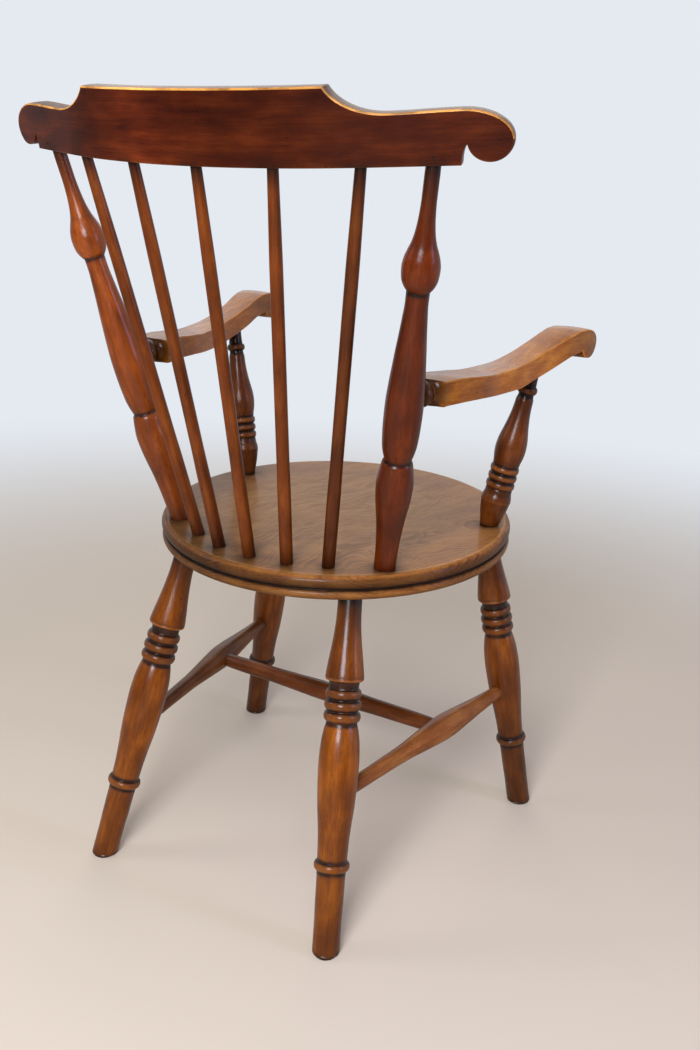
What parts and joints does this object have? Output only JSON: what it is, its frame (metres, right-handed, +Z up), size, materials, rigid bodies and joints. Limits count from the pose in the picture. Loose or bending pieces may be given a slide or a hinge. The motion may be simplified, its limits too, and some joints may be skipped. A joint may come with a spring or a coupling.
{
  "type": "captains chair",
  "caption": "Wooden armchair with a round seat, turned legs, posts and spindles under a curved, shaped crest rail, and scrolled arms.",
  "frame": {"origin": "on the floor, under the middle of the chair's bounding box", "axes": "+Z up; the sitter looks along -Y, so +Y is the back; the sitter's left is +X"},
  "size_m": [0.5984, 0.5368, 0.9227],
  "materials": {
    "seat": "satin",
    "crest": "gloss",
    "posts": "gloss",
    "pins": "satin",
    "arms": "gloss",
    "supports": "gloss",
    "legs": "gloss",
    "side_stretchers": "gloss",
    "cross_stretcher": "gloss",
    "spindles": "gloss"
  },
  "bodies": {
    "root": {"seat": "seat", "crest_rail": "crest", "cross_stretcher": "cross_stretcher", "back_post_left": "posts", "crest_pin_left": "pins", "arm_left": "arms", "arm_support_left": "supports", "leg_rear_left": "legs", "leg_front_left": "legs", "side_stretcher_left": "side_stretchers", "back_post_right": "posts", "crest_pin_right": "pins", "arm_right": "arms", "arm_support_right": "supports", "leg_rear_right": "legs", "leg_front_right": "legs", "side_stretcher_right": "side_stretchers", "spindle_1": "spindles", "spindle_2": "spindles", "spindle_3": "spindles", "spindle_4": "spindles", "spindle_5": "spindles"}
  },
  "joints": []
}
